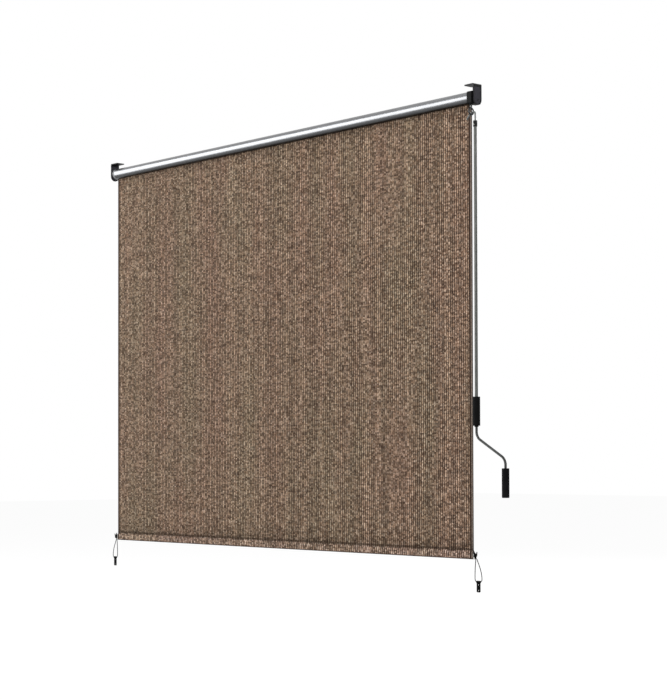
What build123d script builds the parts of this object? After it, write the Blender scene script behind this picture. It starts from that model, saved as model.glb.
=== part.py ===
from build123d import *
import os
from math import atan, cos, degrees, pi, radians, sin, tan

# Crank-operated outdoor roller blind, cloth fully lowered. Millimetres, +X to the crank side,
# +Y to the wall side, +Z up. The origin is the middle of the two screw holes on top of the
# crank-side bracket, in the plane that is screwed to the soffit.

# Overall sizes
cloth_width = 2438.0
blind_drop = 1829.0
tube_diameter = 50.0
tube_wall = 1.5

# Brackets: a rounded plate across the tube, with a flange on top that points inwards
bracket_width = 46.0
bracket_height = 84.0
bracket_wall = 4.0
panel_depth = 0.8
panel_rim = 4.0
flange_length = 52.0
flange_hole_inset = 28.0
flange_hole_spacing = 26.0
flange_hole_radius = 2.75
axis_drop = 51.0
bracket_gap = 27.0

# Gear housing: two moulded halves that meet in the plane of the worm
housing_clearance = 2.0
housing_front = 32.0
housing_back = 22.0
housing_above = 21.0
housing_height = 50.0
housing_corner = 7.0
housing_nose = 4.0
chamber_clearance = 1.2
screw_radius = 1.5
screw_head_radius = 2.75
screw_head_height = 2.0
plate_screw_radius = 2.0
plate_screw_y = 4.0
plate_screw_drop = 12.5

# Worm drive: a two-start worm in front of a fourteen-tooth wheel
wheel_teeth = 14
worm_starts = 2
wheel_pitch_radius = 13.5
worm_pitch_radius = 5.5
worm_length = 22.0
wheel_width = 8.0
tooth_backlash = 1.2
tooth_addendum = 1.7
tooth_dedendum = 2.1
tooth_flank = 20.0
journal_radius = 4.0
running_clearance = 0.1
hub_radius = 7.0
drive_square = 9.6
drive_reach = 13.0

# Tube ends
plug_length = 36.0
plug_clearance = 0.15
plug_flange = 1.2
idler_flange = 14.0
plug_wall = 2.2
plug_hub_radius = 11.0
plug_ribs = 6
bush_radius = 6.0
pin_radius = 4.0
spacer_radius = 9.0

# Groove in the tube that holds the top of the cloth
groove_radius = 3.1
groove_wall = 1.4
groove_slot = 2.4
spline_radius = 2.0

# Cloth and hem
cloth_thickness = 0.9
rib_pitch = 12.0
rib_height = 0.35
hem_height = 34.0
hem_half_depth = 3.7
bar_height = 20.0
bar_depth = 5.0
bar_sink = 1.6
bar_overhang = 5.0
cap_height = 24.0
cap_depth = 8.0
cap_length = 9.0
lug_length = 9.0
lug_height = 9.0
lug_depth = 4.0
lug_hole = 2.3
lug_rise = 7.0

# Tie-downs: a loop of shock cord through each end cap, with a two-hole clip
cord_diameter = 3.2
clip_offset = 25.5
clip_top_drop = 82.0
clip_length = 45.0
clip_width = 19.0
clip_depth = 2.6
clip_head_width = 21.0
clip_head_height = 9.0
clip_head_depth = 6.4
clip_hole_radius = 2.4
clip_hole_spacing = 21.8
clip_hole_first = 16.0

# Crank: hook, collar, long rod, bent arm and two turning grips
worm_setback = 19.0
eye_wire = 6.0
eye_radius = 13.0
eye_neck_radius = 4.5
eye_neck_length = 12.5
eye_tip_radius = 2.4
eye_pin_radius = 1.0
hook_wire = 7.0
seat_gap = 0.3
hook_tail_angle = 50.0
hook_crown_angle = 11.0
hook_tail_length = 30.0
hook_shoulder_radius = 9.0
crank_side_step = 22.0
collar_radius = 8.4
collar_height = 23.5
collar_top_drop = 26.0
rod_diameter = 12.7
rod_wall = 1.0
arm_diameter = 10.0
arm_offset = 153.0
arm_bend_radius = 38.0
arm_corner_drop = 44.0
arm_slope = 29.4
grip_radius = 14.5
grip_length = 113.0
grip_clearance = 0.3
upper_grip_drop = 1074.5
lower_grip_drop = 34.5
insert_length = 40.0
cross_pin_radius = 1.5

# Places worked out from the sizes
plate_outer_x = flange_hole_inset
plate_inner_x = plate_outer_x - bracket_wall
cloth_right = plate_inner_x - bracket_gap
cloth_left = cloth_right - cloth_width
idler_inner_x = cloth_left - bracket_gap
idler_outer_x = idler_inner_x - bracket_wall
axis_z = -axis_drop
tube_radius = tube_diameter / 2
tube_bore = tube_radius - tube_wall
hem_bottom = axis_z + tube_radius - blind_drop
seam_z = hem_bottom + hem_height

worm_y = -worm_setback
cover_x = cloth_right + housing_clearance
worm_x = (cover_x + plate_inner_x) / 2
housing_top = axis_z + housing_above
housing_bottom = housing_top - housing_height
nose_z = housing_bottom - housing_nose
module = 2 * wheel_pitch_radius / wheel_teeth
worm_pitch = pi * module
worm_lead = worm_pitch * worm_starts
worm_outer = worm_pitch_radius + tooth_addendum
worm_root = worm_pitch_radius - tooth_dedendum
wheel_outer = wheel_pitch_radius + tooth_addendum
lead_angle = degrees(atan(worm_lead / (2 * pi * worm_pitch_radius)))
eye_centre_z = nose_z - eye_neck_length - eye_radius + 0.5
eye_bar_z = eye_centre_z - eye_radius
crank_x = worm_x + crank_side_step
groove_z = axis_z - tube_radius + tube_wall + groove_radius


def bracket(outer_x, inward, panels):
    """L-shaped bracket whose plate's outer face is at outer_x, with its flange towards inward."""
    low = -(bracket_height - bracket_width / 2)
    with BuildPart() as made:
        with BuildSketch(Plane.YZ.offset(outer_x)):
            with Locations((0, low / 2)):
                Rectangle(bracket_width, -low)
            with Locations((0, low)):
                Circle(bracket_width / 2)
        extrude(amount=inward * bracket_wall)
        with BuildSketch(Plane.XY.offset(-bracket_wall)):
            with Locations((outer_x + inward * flange_length / 2, 0)):
                Rectangle(flange_length, bracket_width)
        extrude(amount=bracket_wall)
        bends = made.edges().filter_by(Axis.Y).group_by(Axis.Z)[-1].sort_by(Axis.X)
        fillet(bends[-1] if inward < 0 else bends[0], radius=bracket_wall)
        tips = made.edges().filter_by(Axis.Z).sort_by(Axis.X)
        fillet(tips[:2] if inward < 0 else tips[-2:], radius=5)
        middle = outer_x + inward * flange_hole_inset
        with Locations((middle, 0, 0)):
            with GridLocations(flange_hole_spacing, 1, 2, 1):
                Hole(radius=flange_hole_radius, depth=2 * bracket_wall)
        for side in panels:
            start = outer_x if side == "outer" else outer_x + inward * bracket_wall
            with BuildSketch(Plane.YZ.offset(start)):
                with Locations((0, (low - 2 * panel_rim) / 2 - panel_rim / 2)):
                    Rectangle(bracket_width - 2 * panel_rim, -low - 3 * panel_rim)
                with Locations((0, low)):
                    Circle(bracket_width / 2 - panel_rim)
            away = inward if side == "outer" else -inward
            extrude(amount=away * panel_depth, mode=Mode.SUBTRACT)
    return made


# Crank-side bracket, with the hole for the housing's screw
with BuildPart() as drive_bracket:
    add(bracket(plate_outer_x, -1, ["outer"]).part)
    with BuildSketch(Plane.YZ.offset(plate_inner_x)):
        with Locations((plate_screw_y, axis_z - plate_screw_drop)):
            Circle(plate_screw_radius + running_clearance)
    extrude(amount=bracket_wall, mode=Mode.SUBTRACT)

# Idler bracket, with the hole that the idler pin is riveted in
with BuildPart() as idler_bracket:
    add(bracket(idler_outer_x, 1, ["outer", "inner"]).part)
    with BuildSketch(Plane.YZ.offset(idler_outer_x)):
        with Locations((0, axis_z)):
            Circle(pin_radius + running_clearance / 2)
    extrude(amount=bracket_wall, mode=Mode.SUBTRACT)

# Idler pin: rivet head outside, spacer inside, and a journal that the bush turns on
bush_start = cloth_left - idler_flange + 0.5
with BuildPart() as idler_pin:
    with BuildSketch(Plane.YZ.offset(idler_outer_x + panel_depth)):
        with Locations((0, axis_z)):
            Circle(pin_radius * 1.7)
    extrude(amount=-1.6)
    with BuildSketch(Plane.YZ.offset(idler_outer_x + panel_depth)):
        with Locations((0, axis_z)):
            Circle(pin_radius)
    extrude(amount=cloth_left + plug_length - 2 - idler_outer_x - panel_depth)
    with BuildSketch(Plane.YZ.offset(idler_inner_x - panel_depth)):
        with Locations((0, axis_z)):
            Circle(spacer_radius)
    extrude(amount=cloth_left - idler_flange - 0.5 - idler_inner_x + panel_depth)

# Roller tube with the keyhole groove along its underside
with BuildPart() as roller_tube:
    with BuildSketch(Plane.YZ.offset(cloth_left)):
        with Locations((0, axis_z)):
            Circle(tube_radius)
            Circle(tube_bore, mode=Mode.SUBTRACT)
        with Locations((0, groove_z)):
            Circle(groove_radius + groove_wall)
            Circle(groove_radius, mode=Mode.SUBTRACT)
        with Locations((0, (groove_z + axis_z - tube_radius - 1) / 2)):
            Rectangle(groove_slot, groove_z - axis_z + tube_radius + 1, mode=Mode.SUBTRACT)
    extrude(amount=cloth_width)

# Spline rod that keeps the top of the cloth in the groove
with BuildPart() as cloth_spline:
    with BuildSketch(Plane.YZ.offset(cloth_left)):
        with Locations((0, groove_z)):
            Circle(spline_radius)
    extrude(amount=cloth_width)


def tube_plug(start_x, inward, flange, bore_radius, bore_depth, square):
    """Ribbed plug in the tube's end at start_x: flange outside, ribs and a hub inside."""
    skin = tube_bore - plug_clearance
    with BuildPart() as made:
        with BuildSketch(Plane.YZ.offset(start_x)):
            with Locations((0, axis_z)):
                Circle(tube_radius)
        extrude(amount=-inward * flange)
        with BuildSketch(Plane.YZ.offset(start_x)):
            with Locations((0, axis_z)):
                Circle(skin)
                Circle(skin - plug_wall, mode=Mode.SUBTRACT)
                Circle(plug_hub_radius)
                with PolarLocations(0, plug_ribs, start_angle=30):
                    with Locations(((skin + plug_hub_radius) / 2 - 1, 0)):
                        Rectangle(skin - plug_hub_radius, plug_wall)
            with Locations((0, groove_z)):
                Circle(groove_radius + groove_wall + 2 * plug_clearance, mode=Mode.SUBTRACT)
            with Locations((0, axis_z - tube_radius)):
                Rectangle(
                    2 * (groove_radius + groove_wall + 2 * plug_clearance),
                    2 * (groove_radius + tube_wall),
                    mode=Mode.SUBTRACT,
                )
        extrude(amount=inward * plug_length)
        with BuildSketch(Plane.YZ.offset(start_x - inward * flange)):
            with Locations((0, axis_z)):
                if square:
                    Rectangle(2 * bore_radius, 2 * bore_radius)
                else:
                    Circle(bore_radius)
        extrude(amount=inward * bore_depth, mode=Mode.SUBTRACT)
    return made


# Crank-side plug, driven by the square end of the wheel's shaft
with BuildPart() as drive_plug:
    add(
        tube_plug(
            cloth_right, -1, plug_flange, drive_square / 2 + running_clearance,
            drive_reach + plug_flange + 2, True,
        ).part
    )

# Idler plug with its long grey flange, and the bush that turns on the idler pin
with BuildPart() as idler_plug:
    add(
        tube_plug(
            cloth_left, 1, idler_flange, bush_radius + running_clearance / 2,
            idler_flange + plug_length, False,
        ).part
    )

with BuildPart() as idler_bush:
    with BuildSketch(Plane.YZ.offset(bush_start)):
        with Locations((0, axis_z)):
            Circle(bush_radius)
            Circle(pin_radius + running_clearance / 2, mode=Mode.SUBTRACT)
    extrude(amount=cloth_left + plug_length - bush_start)

# Worm wheel: helical teeth, stub shaft in the housing, square end in the plug
tooth_normal = worm_pitch / 2 * cos(radians(lead_angle)) - tooth_backlash / 2
tooth_slope = tan(radians(tooth_flank))


def tooth_outline(low, high):
    """Half-width of a tooth at depth low and at height high, measured from its pitch line."""
    return tooth_normal / 2 - low * tooth_slope, tooth_normal / 2 - high * tooth_slope


wheel_axis = Axis((worm_x, 0, axis_z), (1, 0, 0))
tooth_line = Vector(-cos(radians(lead_angle)), 0, sin(radians(lead_angle)))
root_half, tip_half = tooth_outline(-tooth_dedendum - 0.6, tooth_addendum + 0.4)
with BuildPart() as wheel_tooth:
    with BuildSketch(
        Plane(
            origin=(worm_x, -wheel_pitch_radius, axis_z),
            x_dir=(tooth_line.Z, 0, -tooth_line.X),
            z_dir=tooth_line,
        )
    ) as tooth_face:
        # the plane's y direction points along the wheel's radius
        inwards = 1 if tooth_face.workplanes[0].y_dir.Y > 0 else -1
        with BuildLine():
            Polyline(
                (-root_half, inwards * (tooth_dedendum + 0.6)),
                (root_half, inwards * (tooth_dedendum + 0.6)),
                (tip_half, -inwards * (tooth_addendum + 0.4)),
                (-tip_half, -inwards * (tooth_addendum + 0.4)),
                close=True,
            )
        make_face()
    extrude(amount=wheel_width, both=True)

with BuildPart() as worm_wheel:
    with BuildSketch(Plane.YZ.offset(worm_x - wheel_width / 2)):
        with Locations((0, axis_z)):
            Circle(wheel_pitch_radius - tooth_dedendum)
    extrude(amount=wheel_width)
    for number in range(wheel_teeth):
        add(wheel_tooth.part.rotate(wheel_axis, number * 360 / wheel_teeth))
    with BuildSketch(Plane.YZ.offset(worm_x - wheel_width / 2)):
        with Locations((0, axis_z)):
            Circle(wheel_outer)
    extrude(amount=wheel_width, mode=Mode.INTERSECT)
    with BuildSketch(Plane.YZ.offset(worm_x + wheel_width / 2)):
        with Locations((0, axis_z)):
            Circle(journal_radius)
    extrude(amount=(plate_inner_x - worm_x) / 2)
    with BuildSketch(Plane.YZ.offset(worm_x - wheel_width / 2)):
        with Locations((0, axis_z)):
            Circle(hub_radius)
    extrude(amount=-(worm_x - wheel_width / 2 - cover_x))
    with BuildSketch(Plane.YZ.offset(cover_x)):
        with Locations((0, axis_z)):
            Rectangle(drive_square, drive_square)
    extrude(amount=-(drive_reach + housing_clearance - plug_flange))

# Worm: two helical threads on a core, with a journal above and below and a stepped tip
thread_height = worm_length + 2 * worm_lead
worm_low, worm_high = tooth_outline(-tooth_dedendum - 0.3, tooth_addendum)
with BuildPart() as worm_threads:
    for start in range(worm_starts):
        turn_start = 360 * start / worm_starts
        with BuildLine() as thread_path:
            Helix(
                pitch=worm_lead,
                height=thread_height,
                radius=worm_pitch_radius,
                center=(worm_x, worm_y, axis_z - 2 * worm_lead),
            )
        path = thread_path.line.rotate(Axis((worm_x, worm_y, 0), (0, 0, 1)), turn_start)
        outward = Vector(cos(radians(turn_start)), sin(radians(turn_start)), 0)
        with BuildSketch(Plane(origin=path @ 0, x_dir=outward, z_dir=path % 0)):
            with BuildLine():
                Polyline(
                    (-tooth_dedendum - 0.3, -worm_low),
                    (tooth_addendum, -worm_high),
                    (tooth_addendum, worm_high),
                    (-tooth_dedendum - 0.3, worm_low),
                    close=True,
                )
            make_face()
        sweep(path=path, is_frenet=True)

with BuildPart() as worm:
    with BuildSketch(Plane.XY.offset(axis_z - worm_length / 2)):
        with Locations((worm_x, worm_y)):
            Circle(worm_root)
    extrude(amount=worm_length)
    add(worm_threads.part)
    with BuildSketch(Plane.XY.offset(axis_z - worm_length / 2)):
        with Locations((worm_x, worm_y)):
            Circle(worm_outer + 1)
    extrude(amount=worm_length, mode=Mode.INTERSECT)
    with BuildSketch(Plane.XY.offset(axis_z + worm_length / 2)):
        with Locations((worm_x, worm_y)):
            Circle(journal_radius)
    extrude(amount=housing_top - 2.5 - axis_z - worm_length / 2)
    with BuildSketch(Plane.XY.offset(nose_z - seat_gap)):
        with Locations((worm_x, worm_y)):
            Circle(journal_radius)
    extrude(amount=axis_z - worm_length / 2 - nose_z + seat_gap)
    with BuildSketch(Plane.XY.offset(nose_z - seat_gap)):
        with Locations((worm_x, worm_y)):
            Circle(eye_tip_radius)
    extrude(amount=-8)
    with Locations(Plane((worm_x, worm_y, nose_z - 5), z_dir=(0, 1, 0))):
        Cylinder(eye_pin_radius + 0.05, 20, mode=Mode.SUBTRACT)

# Gear housing and its cover, cut from one moulding in the plane of the worm
with BuildPart() as housing_block:
    with BuildSketch(Plane.YZ.offset(cover_x)):
        with Locations(((housing_back - housing_front) / 2, (housing_top + housing_bottom) / 2)):
            RectangleRounded(housing_front + housing_back, housing_height, housing_corner)
    extrude(amount=plate_inner_x - cover_x)
    ends = housing_block.faces().filter_by(Axis.X).sort_by(Axis.X)
    chamfer(ends[0].edges(), length=1)
    with BuildSketch(Plane.XY.offset(nose_z)):
        with Locations((worm_x, worm_y)):
            Circle(2 * journal_radius)
    extrude(amount=housing_nose + 2)
    with BuildSketch(Plane.YZ.offset(worm_x - wheel_width / 2 - 1)):
        with Locations((0, axis_z)):
            Circle(wheel_outer + chamber_clearance)
    extrude(amount=wheel_width + 2, mode=Mode.SUBTRACT)
    with BuildSketch(Plane.XY.offset(axis_z - worm_length / 2 - 1)):
        with Locations((worm_x, worm_y)):
            Circle(worm_outer + chamber_clearance)
    extrude(amount=worm_length + 2, mode=Mode.SUBTRACT)
    with BuildSketch(Plane.XY.offset(nose_z)):
        with Locations((worm_x, worm_y)):
            Circle(journal_radius + running_clearance / 2)
    extrude(amount=housing_top - 2.2 - nose_z, mode=Mode.SUBTRACT)

cover_screw_places = [
    (housing_back - 4.5, housing_top - 5),
    (housing_back - 4.5, housing_bottom + 5),
    (-housing_front + 4.5, housing_bottom + 5),
]
with BuildPart() as gear_housing:
    add(housing_block.part)
    split(bisect_by=Plane.YZ.offset(worm_x), keep=Keep.TOP)
    with BuildSketch(Plane.YZ.offset(worm_x)):
        with Locations((0, axis_z)):
            Circle(journal_radius + running_clearance / 2)
    extrude(amount=wheel_width / 2 + (plate_inner_x - worm_x) / 2 + 0.5, mode=Mode.SUBTRACT)
    with BuildSketch(Plane.YZ.offset(worm_x)):
        with Locations(*cover_screw_places):
            Circle(screw_radius + 0.05)
    extrude(amount=(plate_inner_x - worm_x) - 3, mode=Mode.SUBTRACT)
    with BuildSketch(Plane.YZ.offset(plate_inner_x)):
        with Locations((plate_screw_y, axis_z - plate_screw_drop)):
            Circle(plate_screw_radius + 0.05)
    extrude(amount=-(plate_inner_x - worm_x - wheel_width / 2 - 2), mode=Mode.SUBTRACT)

with BuildPart() as housing_cover:
    add(housing_block.part)
    split(bisect_by=Plane.YZ.offset(worm_x), keep=Keep.BOTTOM)
    with BuildSketch(Plane.YZ.offset(cover_x)):
        with Locations((0, axis_z)):
            Circle(hub_radius + running_clearance)
    extrude(amount=worm_x - cover_x, mode=Mode.SUBTRACT)
    with BuildSketch(Plane.YZ.offset(cover_x)):
        with Locations(*cover_screw_places):
            Circle(screw_radius + 0.05)
    extrude(amount=worm_x - cover_x, mode=Mode.SUBTRACT)
    with BuildSketch(Plane.YZ.offset(cover_x)):
        with Locations(*cover_screw_places):
            Circle(screw_head_radius + 0.1)
    extrude(amount=screw_head_height + 0.1, mode=Mode.SUBTRACT)

with BuildPart() as cover_screws:
    with BuildSketch(Plane.YZ.offset(cover_x + 0.1)):
        with Locations(*cover_screw_places):
            Circle(screw_head_radius)
    extrude(amount=screw_head_height)
    with BuildSketch(Plane.YZ.offset(cover_x + 0.1)):
        with Locations(*cover_screw_places):
            Circle(screw_radius)
    extrude(amount=plate_inner_x - cover_x - 4)
    with BuildSketch(Plane.YZ.offset(cover_x + 0.1)):
        with Locations(*cover_screw_places):
            Rectangle(2 * screw_radius, 0.6)
            Rectangle(0.6, 2 * screw_radius)
    extrude(amount=screw_head_height / 2, mode=Mode.SUBTRACT)

# Screw that holds the housing to the crank-side bracket, its pan head outside
head_x = plate_outer_x - panel_depth
with BuildPart() as housing_screw:
    with BuildSketch(Plane.YZ.offset(head_x)):
        with Locations((plate_screw_y, axis_z - plate_screw_drop)):
            Circle(1.9 * plate_screw_radius)
    extrude(amount=plate_screw_radius)
    fillet(housing_screw.edges().sort_by(Axis.X)[-1], radius=0.45 * plate_screw_radius)
    with BuildSketch(Plane.YZ.offset(head_x)):
        with Locations((plate_screw_y, axis_z - plate_screw_drop)):
            Circle(plate_screw_radius)
    extrude(amount=-(head_x - worm_x - wheel_width / 2 - 3))
    with BuildSketch(Plane.YZ.offset(head_x + plate_screw_radius)):
        with Locations((plate_screw_y, axis_z - plate_screw_drop)):
            Rectangle(2 * plate_screw_radius, 0.8)
            Rectangle(0.8, 2 * plate_screw_radius)
    extrude(amount=-plate_screw_radius / 2, mode=Mode.SUBTRACT)

# Eye below the housing, pinned to the worm's tip
with BuildPart() as drive_eye:
    with Locations(Plane((worm_x, worm_y, eye_centre_z), z_dir=(1, 0, 0))):
        Torus(eye_radius, eye_wire / 2)
    with BuildSketch(Plane.XY.offset(nose_z - seat_gap - 0.2)):
        with Locations((worm_x, worm_y)):
            Circle(eye_neck_radius)
    extrude(amount=-eye_neck_length)
    with BuildSketch(Plane.XY.offset(nose_z - seat_gap - 0.2)):
        with Locations((worm_x, worm_y)):
            Circle(eye_tip_radius + 0.05)
    extrude(amount=-8.2, mode=Mode.SUBTRACT)
    with Locations(Plane((worm_x, worm_y, nose_z - 5), z_dir=(0, 1, 0))):
        Cylinder(eye_pin_radius + 0.05, 20, mode=Mode.SUBTRACT)

with BuildPart() as eye_pin:
    with Locations(Plane((worm_x, worm_y, nose_z - 5), z_dir=(0, 1, 0))):
        Cylinder(eye_pin_radius, 2 * eye_neck_radius)

# Hook: bent round the bottom of the eye, with a flared tail and a long straight leg
collar_top = eye_bar_z - collar_top_drop
hook_bend = eye_wire / 2 + hook_wire / 2 + seat_gap
bend_half = radians(hook_tail_angle - hook_crown_angle) / 2
bend_mid = radians(hook_tail_angle + hook_crown_angle) / 2
crown_x = worm_x - hook_bend / cos(bend_half) * sin(bend_mid)
crown_z = eye_bar_z + hook_bend / cos(bend_half) * cos(bend_mid)
tail_x = crown_x - hook_tail_length * cos(radians(hook_tail_angle))
tail_z = crown_z - hook_tail_length * sin(radians(hook_tail_angle))
shoulder_z = crown_z + (crank_x - crown_x) * tan(radians(hook_crown_angle))
with BuildPart() as crank_hook:
    with BuildLine() as hook_path:
        FilletPolyline(
            (tail_x, worm_y, tail_z),
            (crown_x, worm_y, crown_z),
            (crank_x, worm_y, shoulder_z),
            (crank_x, worm_y, collar_top - 20),
            radius=[hook_bend, hook_shoulder_radius],
        )
    with BuildSketch(Plane(origin=hook_path.line @ 0, z_dir=hook_path.line % 0)):
        Circle(hook_wire / 2)
    sweep(path=hook_path.line)
    with Locations(Plane((crank_x, worm_y, collar_top - 15), z_dir=(0, 1, 0))):
        Cylinder(cross_pin_radius + 0.05, 4 * rod_diameter, mode=Mode.SUBTRACT)

# Collar that joins the hook to the rod, with its cross pin
rod_top = collar_top - 6
with BuildPart() as crank_collar:
    with BuildSketch(Plane.XY.offset(collar_top)):
        with Locations((crank_x, worm_y)):
            Circle(collar_radius)
    extrude(amount=-collar_height)
    fillet(crank_collar.edges().filter_by(GeomType.CIRCLE), radius=1)
    with BuildSketch(Plane.XY.offset(collar_top)):
        with Locations((crank_x, worm_y)):
            Circle(hook_wire / 2 + 0.05)
    extrude(amount=-collar_height, mode=Mode.SUBTRACT)
    with BuildSketch(Plane.XY.offset(rod_top + 0.1)):
        with Locations((crank_x, worm_y)):
            Circle(rod_diameter / 2 + 0.05)
    extrude(amount=-collar_height, mode=Mode.SUBTRACT)
    with Locations(Plane((crank_x, worm_y, collar_top - 15), z_dir=(0, 1, 0))):
        Cylinder(cross_pin_radius + 0.05, 4 * collar_radius, mode=Mode.SUBTRACT)

with BuildPart() as collar_pin:
    with Locations(Plane((crank_x, worm_y, collar_top - 15), z_dir=(0, 1, 0))):
        Cylinder(cross_pin_radius, 2 * collar_radius - 0.2)

# Long rod, a tube from the collar into the upper grip
upper_top = collar_top - upper_grip_drop
upper_bottom = upper_top - grip_length
rod_bottom = upper_bottom + 10
with BuildPart() as crank_rod:
    with BuildSketch(Plane.XY.offset(rod_top)):
        with Locations((crank_x, worm_y)):
            Circle(rod_diameter / 2)
            Circle(rod_diameter / 2 - rod_wall, mode=Mode.SUBTRACT)
    extrude(amount=rod_bottom - rod_top)
    for height in (collar_top - 15, rod_bottom + 15):
        with Locations(Plane((crank_x, worm_y, height), z_dir=(0, 1, 0))):
            Cylinder(cross_pin_radius + 0.05, 2 * rod_diameter, mode=Mode.SUBTRACT)

# Bent arm, pinned in the rod's lower end
corner_z = upper_bottom - arm_corner_drop
elbow_z = corner_z - arm_offset * tan(radians(arm_slope))
lower_top = elbow_z - lower_grip_drop
lower_bottom = lower_top - grip_length
with BuildPart() as crank_arm:
    with BuildLine() as arm_path:
        FilletPolyline(
            (crank_x, worm_y, rod_bottom + insert_length),
            (crank_x, worm_y, corner_z),
            (crank_x + arm_offset, worm_y, elbow_z),
            (crank_x + arm_offset, worm_y, lower_bottom + 16),
            radius=arm_bend_radius,
        )
    with BuildSketch(Plane(origin=arm_path.line @ 0, z_dir=arm_path.line % 0)):
        Circle(arm_diameter / 2)
    sweep(path=arm_path.line)
    with Locations(Plane((crank_x, worm_y, rod_bottom + 15), z_dir=(0, 1, 0))):
        Cylinder(cross_pin_radius + 0.05, 2 * rod_diameter, mode=Mode.SUBTRACT)

with BuildPart() as arm_pin:
    with Locations(Plane((crank_x, worm_y, rod_bottom + 15), z_dir=(0, 1, 0))):
        Cylinder(cross_pin_radius, rod_diameter - 0.4)


def grip_barrel(centre_x, top, bottom, steps):
    """Turned barrel between top and bottom, with a bore in steps of (radius, from, to)."""
    with BuildPart() as made:
        with BuildSketch(Plane.XY.offset(bottom)):
            with Locations((centre_x, worm_y)):
                Circle(grip_radius)
        extrude(amount=top - bottom)
        fillet(made.edges().filter_by(GeomType.CIRCLE).sort_by(Axis.Z)[-1], radius=2)
        for radius, high, low in steps:
            with BuildSketch(Plane.XY.offset(high)):
                with Locations((centre_x, worm_y)):
                    Circle(radius)
            extrude(amount=low - high, mode=Mode.SUBTRACT)
    return made


grip_bore = arm_diameter / 2 + grip_clearance
with BuildPart() as upper_grip:
    add(
        grip_barrel(
            crank_x, upper_top, upper_bottom,
            [
                (rod_diameter / 2 + grip_clearance, upper_top, upper_bottom + 6),
                (grip_bore, upper_bottom + 6, upper_bottom),
            ],
        ).part
    )
    fillet(upper_grip.edges().filter_by(GeomType.CIRCLE).group_by(Axis.Z)[0][-1], radius=1.5)

# Ring pushed on the arm, which the upper grip rests on
with BuildPart() as grip_stop:
    with BuildSketch(Plane.XY.offset(upper_bottom - seat_gap)):
        with Locations((crank_x, worm_y)):
            Circle(grip_radius - 6)
            Circle(arm_diameter / 2 + 0.05, mode=Mode.SUBTRACT)
    extrude(amount=-4)
    chamfer(grip_stop.edges().filter_by(GeomType.CIRCLE).sort_by(SortBy.RADIUS)[-2:], length=1)

# Lower grip, with the push nut and the end cap that close it
cap_top = lower_bottom + 5
nut_room = lower_bottom + 24
elbow_x = crank_x + arm_offset
with BuildPart() as lower_grip:
    add(
        grip_barrel(
            elbow_x, lower_top, cap_top + 0.05,
            [(grip_bore, lower_top, nut_room), (grip_radius - 4.5, nut_room, cap_top)],
        ).part
    )

with BuildPart() as grip_nut:
    with BuildSketch(Plane.XY.offset(nut_room - seat_gap)):
        with Locations((elbow_x, worm_y)):
            Circle(grip_radius - 6)
            Circle(arm_diameter / 2 + 0.05, mode=Mode.SUBTRACT)
    extrude(amount=-1.5)

with BuildPart() as grip_cap:
    with BuildSketch(Plane.XY.offset(lower_bottom)):
        with Locations((elbow_x, worm_y)):
            Circle(grip_radius)
    extrude(amount=cap_top - lower_bottom)
    fillet(grip_cap.edges().filter_by(GeomType.CIRCLE).sort_by(Axis.Z)[0], radius=3)
    with BuildSketch(Plane.XY.offset(cap_top)):
        with Locations((elbow_x, worm_y)):
            Circle(grip_radius - 4.6)
    extrude(amount=8)

# Shade cloth: one ribbed sheet from the groove to the hem's seam
cloth_top = groove_z - spline_radius - seat_gap
ribs = int(cloth_width // rib_pitch)
rib_start = cloth_left + (cloth_width - ribs * rib_pitch) / 2
back, valley = cloth_thickness / 2, -cloth_thickness / 2
front = valley - rib_height
outline = [(cloth_right, valley), (cloth_right, back), (cloth_left, back), (cloth_left, valley)]
for number in range(ribs):
    left = rib_start + number * rib_pitch
    outline += [
        (left + 0.1 * rib_pitch, valley),
        (left + 0.3 * rib_pitch, front),
        (left + 0.7 * rib_pitch, front),
        (left + 0.9 * rib_pitch, valley),
    ]
with BuildPart() as shade_cloth:
    with BuildSketch(Plane.XY.offset(seam_z)):
        with BuildLine():
            Polyline(*outline, close=True)
        make_face()
    extrude(amount=cloth_top - seam_z)

# Hem pocket: the cloth's end turned up round the bar and sewn to itself
bar_low = hem_bottom + hem_half_depth - bar_sink
shoulder = bar_low + bar_height + 2
inner = hem_half_depth - cloth_thickness
with BuildPart() as hem_pocket:
    with BuildSketch(Plane.YZ.offset(cloth_left)):
        with BuildLine():
            Polyline(
                (-hem_half_depth, hem_bottom + hem_half_depth),
                (-hem_half_depth, shoulder),
                (-cloth_thickness, seam_z),
                (cloth_thickness, seam_z),
                (hem_half_depth, shoulder),
                (hem_half_depth, hem_bottom + hem_half_depth),
            )
            ThreePointArc(
                (hem_half_depth, hem_bottom + hem_half_depth),
                (0, hem_bottom),
                (-hem_half_depth, hem_bottom + hem_half_depth),
            )
        make_face()
        with BuildLine():
            Polyline(
                (-inner, hem_bottom + hem_half_depth),
                (-inner, shoulder),
                (0, seam_z - 2 * cloth_thickness),
                (inner, shoulder),
                (inner, hem_bottom + hem_half_depth),
            )
            ThreePointArc(
                (inner, hem_bottom + hem_half_depth),
                (0, hem_bottom + cloth_thickness),
                (-inner, hem_bottom + hem_half_depth),
            )
        make_face(mode=Mode.SUBTRACT)
    extrude(amount=cloth_width)

# Flat steel bar in the pocket, a little longer than the cloth
bar_z = bar_low + bar_height / 2
lug_z = bar_z + lug_rise
with BuildPart() as hem_bar:
    with BuildSketch(Plane.YZ.offset(cloth_left - bar_overhang)):
        with Locations((0, bar_z)):
            RectangleRounded(bar_depth, bar_height, 1)
    extrude(amount=cloth_width + 2 * bar_overhang)


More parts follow.
